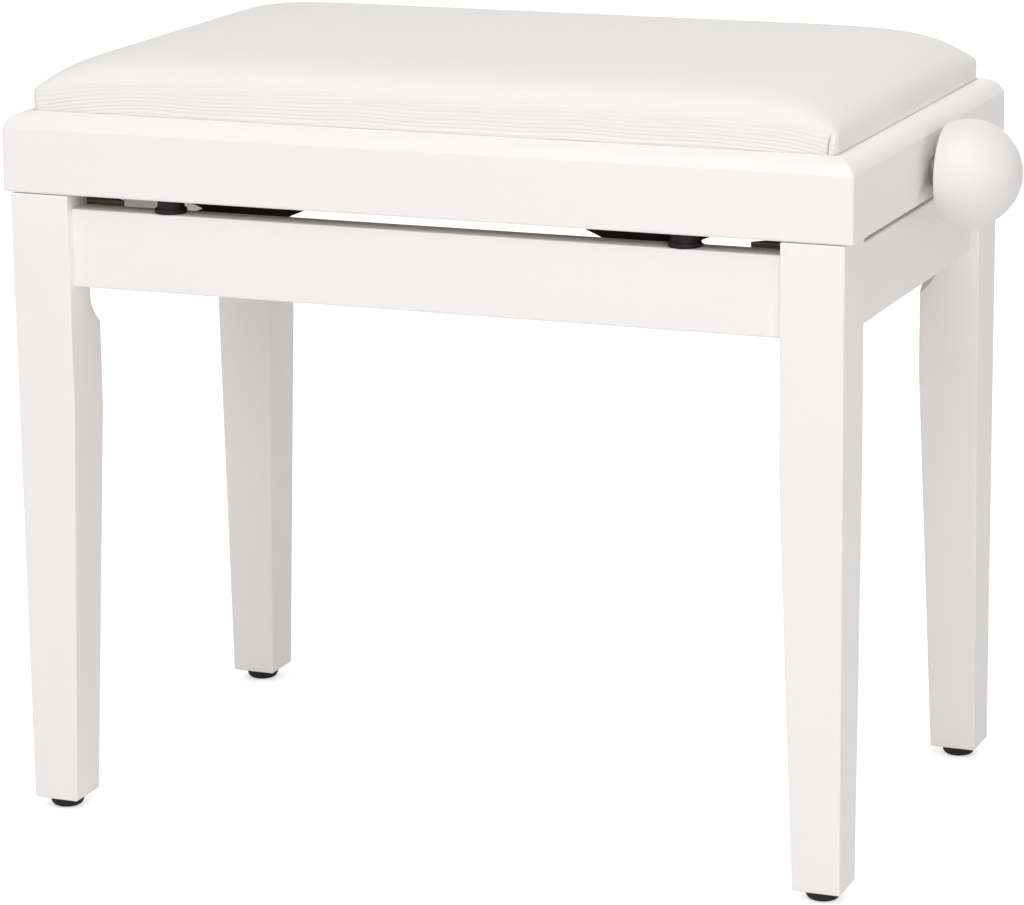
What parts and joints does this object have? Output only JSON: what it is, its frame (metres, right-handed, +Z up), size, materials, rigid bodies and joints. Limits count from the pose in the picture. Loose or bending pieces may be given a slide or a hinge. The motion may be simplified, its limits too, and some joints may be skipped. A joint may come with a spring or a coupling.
{
  "type": "piano stool",
  "caption": "Height-adjustable piano stool: crowned cloth seat in a painted frame on a scissor lift, side knob, four tapered legs.",
  "frame": {"origin": "on the floor, under the middle of the stool's box", "axes": "+X along the seat towards the knob, -Y towards the front, +Z up"},
  "size_m": [0.6046, 0.326, 0.4869],
  "materials": {
    "painted_wood": "satin paint",
    "raw_wood": "planed, unfinished",
    "plywood": "sanded plywood",
    "blackened_steel": "black powder coat",
    "zinc_steel": "bright zinc plate",
    "brass": "turned",
    "black_rubber": "matt",
    "ribbed_cloth": "fine corduroy",
    "foam": "open-cell foam"
  },
  "bodies": {
    "base": {"leg_front_left": "painted_wood", "leg_front_right": "painted_wood", "leg_back_left": "painted_wood", "leg_back_right": "painted_wood", "rail_front": "painted_wood", "rail_back": "painted_wood", "rail_left": "painted_wood", "rail_right": "painted_wood", "corner_blocks": "raw_wood", "hanger_bolts": "zinc_steel", "hanger_washers": "zinc_steel", "hanger_nuts": "zinc_steel", "foot_glides": "black_rubber", "glide_nails": "zinc_steel", "rail_bumpers": "black_rubber", "channel_cleats": "raw_wood", "lower_channel_front": "blackened_steel", "lower_channel_back": "blackened_steel", "lower_channel_screws": "zinc_steel", "lower_rod_left": "zinc_steel", "lower_rod_right": "zinc_steel"},
    "outer_arm_pair_left": {"outer_arms_left": "blackened_steel", "centre_pivots_left": "blackened_steel"},
    "outer_arm_pair_right": {"outer_arms_right": "blackened_steel", "centre_pivots_right": "blackened_steel"},
    "inner_arm_pair_left": {"inner_arms_left": "blackened_steel", "lower_slide_pins_left": "zinc_steel"},
    "inner_arm_pair_right": {"inner_arms_right": "blackened_steel", "lower_slide_pins_right": "zinc_steel"},
    "slide_left": {"slide_bar_left": "zinc_steel"},
    "slide_right": {"slide_bar_right": "zinc_steel"},
    "seat": {"frame_front": "painted_wood", "frame_back": "painted_wood", "frame_left": "painted_wood", "frame_right": "painted_wood", "seat_cleats": "raw_wood", "seat_board": "plywood", "board_screws": "zinc_steel", "cushion_foam": "foam", "cushion_cover": "ribbed_cloth", "upper_channel_front": "blackened_steel", "upper_channel_back": "blackened_steel", "upper_channel_screws": "zinc_steel", "bearing_bar_left": "zinc_steel", "bearing_bar_right": "zinc_steel", "spindle_bush": "zinc_steel"},
    "turning_spindle": {"spindle": "zinc_steel", "thrust_collars": "zinc_steel", "knob": "painted_wood", "knob_insert": "brass"}
  },
  "joints": [
    {"name": "height", "type": "hinge", "parent": "base", "child": "outer_arm_pair_left", "pos_m": [-0.23615, 0, 0.357], "axis": [0, -1, 0], "range_deg": [0, 39.39]},
    {"name": "cross_left", "type": "hinge", "parent": "outer_arm_pair_left", "child": "inner_arm_pair_left", "pos_m": [-0.1622, 0, 0.3875], "axis": [0, 1, 0], "range_deg": [0, 79]},
    {"name": "seat_level", "type": "hinge", "parent": "inner_arm_pair_left", "child": "seat", "pos_m": [-0.23615, 0, 0.418], "axis": [0, -1, 0], "range_deg": [0, 39.5]},
    {"name": "lower_right", "type": "hinge", "parent": "base", "child": "outer_arm_pair_right", "pos_m": [0.18145, 0, 0.357], "axis": [0, 1, 0], "range_deg": [0, 39.5]},
    {"name": "cross_right", "type": "hinge", "parent": "outer_arm_pair_right", "child": "inner_arm_pair_right", "pos_m": [0.1075, 0, 0.3875], "axis": [0, -1, 0], "range_deg": [0, 79]},
    {"name": "slide_level_left", "type": "hinge", "parent": "outer_arm_pair_left", "child": "slide_left", "pos_m": [-0.08824, 0, 0.418], "axis": [0, 1, 0], "range_deg": [0, 39.5]},
    {"name": "slide_level_right", "type": "hinge", "parent": "outer_arm_pair_right", "child": "slide_right", "pos_m": [0.03355, 0, 0.418], "axis": [0, -1, 0], "range_deg": [0, 39.5]},
    {"name": "spindle_turn", "type": "hinge", "parent": "seat", "child": "turning_spindle", "pos_m": [-0.02735, 0, 0.418], "axis": [-1, 0, 0], "range_deg": [0, 4340]}
  ],
  "couplings": [
    {"joint": "cross_left", "follows": "height", "ratio": 2},
    {"joint": "seat_level", "follows": "height", "ratio": 1},
    {"joint": "lower_right", "follows": "height", "ratio": 1},
    {"joint": "cross_right", "follows": "height", "ratio": 2},
    {"joint": "slide_level_left", "follows": "height", "ratio": 1},
    {"joint": "slide_level_right", "follows": "height", "ratio": 1},
    {"joint": "spindle_turn", "follows": "height", "ratio": 110.14}
  ]
}
